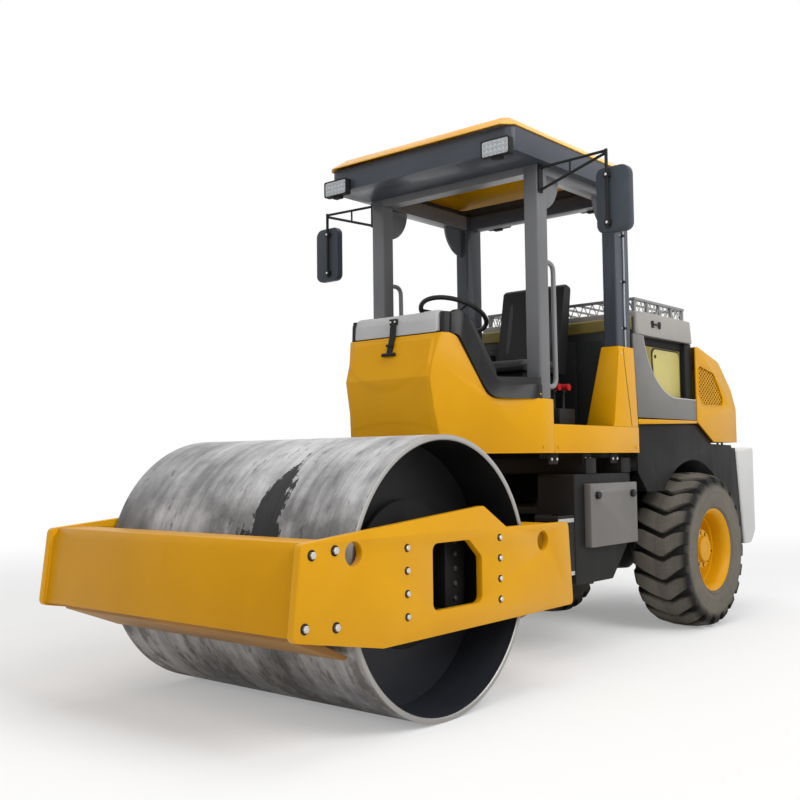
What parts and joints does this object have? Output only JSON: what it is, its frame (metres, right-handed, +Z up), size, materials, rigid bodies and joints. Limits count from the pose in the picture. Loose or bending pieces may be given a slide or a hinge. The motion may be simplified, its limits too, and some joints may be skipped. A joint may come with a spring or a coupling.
{
  "type": "articulated single drum road roller",
  "caption": "Articulated soil roller with a smooth steel drum in front, an open operator platform under a flat roof, a rear engine hood and lugged drive tyres.",
  "frame": {"origin": "on the ground under the middle of the whole machine's bounding box", "axes": "+X forward towards the drum, +Y to the machine's left, +Z up"},
  "size_m": [5.334, 2.382, 3.076],
  "materials": {
    "yellow_paint": "semi-gloss",
    "dark_steel": "satin",
    "grey_steel": "satin",
    "light_grey_paint": "satin",
    "pale_panel": "satin",
    "drum_steel": "worn",
    "bare_steel": "brushed",
    "black_plastic": "matte",
    "grey_plastic": "matte",
    "lamp_glass": "glossy",
    "buffer_rubber": "matte",
    "tyre_rubber": "matte",
    "seat_vinyl": "woven"
  },
  "bodies": {
    "rear_frame": {"chassis": "dark_steel", "pivot_pin": "bare_steel", "rear_axle": "dark_steel", "counterweight": "light_grey_paint", "fenders": "dark_steel", "battery_box": "dark_steel", "battery_cover": "grey_steel", "fuel_tank": "dark_steel", "steps": "dark_steel", "cowl": "yellow_paint", "cowl_liner": "black_plastic", "platform": "yellow_paint", "floor_mat": "buffer_rubber", "pillar_bases": "yellow_paint", "rops_frame": "grey_steel", "canopy_frame": "dark_steel", "canopy_skin": "yellow_paint", "work_lamps": "lamp_glass", "mirrors": "black_plastic", "grab_rails": "dark_steel", "seat_base": "dark_steel", "seat": "seat_vinyl", "steering_column": "black_plastic", "lever_console": "black_plastic", "bulkhead": "dark_steel", "shroud": "grey_steel", "shroud_guard": "dark_steel", "bay_sills": "yellow_paint", "swoosh_panels": "grey_steel", "bay_frame": "dark_steel", "inner_panels": "pale_panel", "engine": "grey_steel", "radiator": "dark_steel"},
    "hitch": {"hitch": "dark_steel"},
    "front_frame": {"side_plates": "yellow_paint", "front_beam": "yellow_paint", "rear_beam": "yellow_paint", "scrapers": "yellow_paint", "drum_mounts": "dark_steel", "buffers": "buffer_rubber"},
    "drum": {"drum_shell": "drum_steel", "drum_heads": "dark_steel"},
    "wheel_left": {"tyre_left": "tyre_rubber", "rim_left": "yellow_paint"},
    "wheel_right": {"tyre_right": "tyre_rubber", "rim_right": "yellow_paint"},
    "hood": {"hood": "yellow_paint", "hood_grilles": "dark_steel"},
    "cowl_cover": {"cowl_cover": "grey_plastic"},
    "barrel_left": {"cylinder_barrel_left": "dark_steel"},
    "barrel_right": {"cylinder_barrel_right": "dark_steel"},
    "rod_left": {"cylinder_rod_left": "bare_steel"},
    "rod_right": {"cylinder_rod_right": "bare_steel"}
  },
  "joints": [
    {"name": "steer", "type": "hinge", "parent": "rear_frame", "child": "hitch", "pos_m": [0.158, 0, 0.65], "axis": [0, 0, 1], "range_deg": [-35, 35]},
    {"name": "oscillate", "type": "hinge", "parent": "hitch", "child": "front_frame", "pos_m": [0.158, 0, 0.65], "axis": [1, 0, 0], "range_deg": [-12, 12]},
    {"name": "drum_spin", "type": "hinge", "parent": "front_frame", "child": "drum", "pos_m": [1.653, 0, 0.65], "axis": [0, 1, 0], "continuous": true},
    {"name": "wheel_left_spin", "type": "hinge", "parent": "rear_frame", "child": "wheel_left", "pos_m": [-1.492, 0.583, 0.5375], "axis": [0, 1, 0], "continuous": true},
    {"name": "wheel_right_spin", "type": "hinge", "parent": "rear_frame", "child": "wheel_right", "pos_m": [-1.492, -0.583, 0.5375], "axis": [0, 1, 0], "continuous": true},
    {"name": "hood_open", "type": "hinge", "parent": "rear_frame", "child": "hood", "pos_m": [-2.207, 0, 1.3], "axis": [0, -1, 0], "range_deg": [0, 60]},
    {"name": "cover_open", "type": "hinge", "parent": "rear_frame", "child": "cowl_cover", "pos_m": [0.888, 0, 1.958], "axis": [0, -1, 0], "range_deg": [0, 65]},
    {"name": "barrel_left_swing", "type": "hinge", "parent": "rear_frame", "child": "barrel_left", "pos_m": [-0.422, 0.19, 0.65], "axis": [0, 0, 1], "range_deg": [-3, 3]},
    {"name": "rod_left_stroke", "type": "slide", "parent": "barrel_left", "child": "rod_left", "axis": [1, 0, 0], "range_m": [-0.112, 0.112]},
    {"name": "barrel_right_swing", "type": "hinge", "parent": "rear_frame", "child": "barrel_right", "pos_m": [-0.422, -0.19, 0.65], "axis": [0, 0, 1], "range_deg": [-3, 3]},
    {"name": "rod_right_stroke", "type": "slide", "parent": "barrel_right", "child": "rod_right", "axis": [1, 0, 0], "range_m": [-0.112, 0.112]}
  ],
  "couplings": [
    {"joint": "barrel_left_swing", "follows": "steer", "ratio": 0.0762},
    {"joint": "rod_left_stroke", "follows": "steer", "m_per_rad": -0.1784},
    {"joint": "barrel_right_swing", "follows": "steer", "ratio": 0.0762},
    {"joint": "rod_right_stroke", "follows": "steer", "m_per_rad": 0.1784}
  ]
}
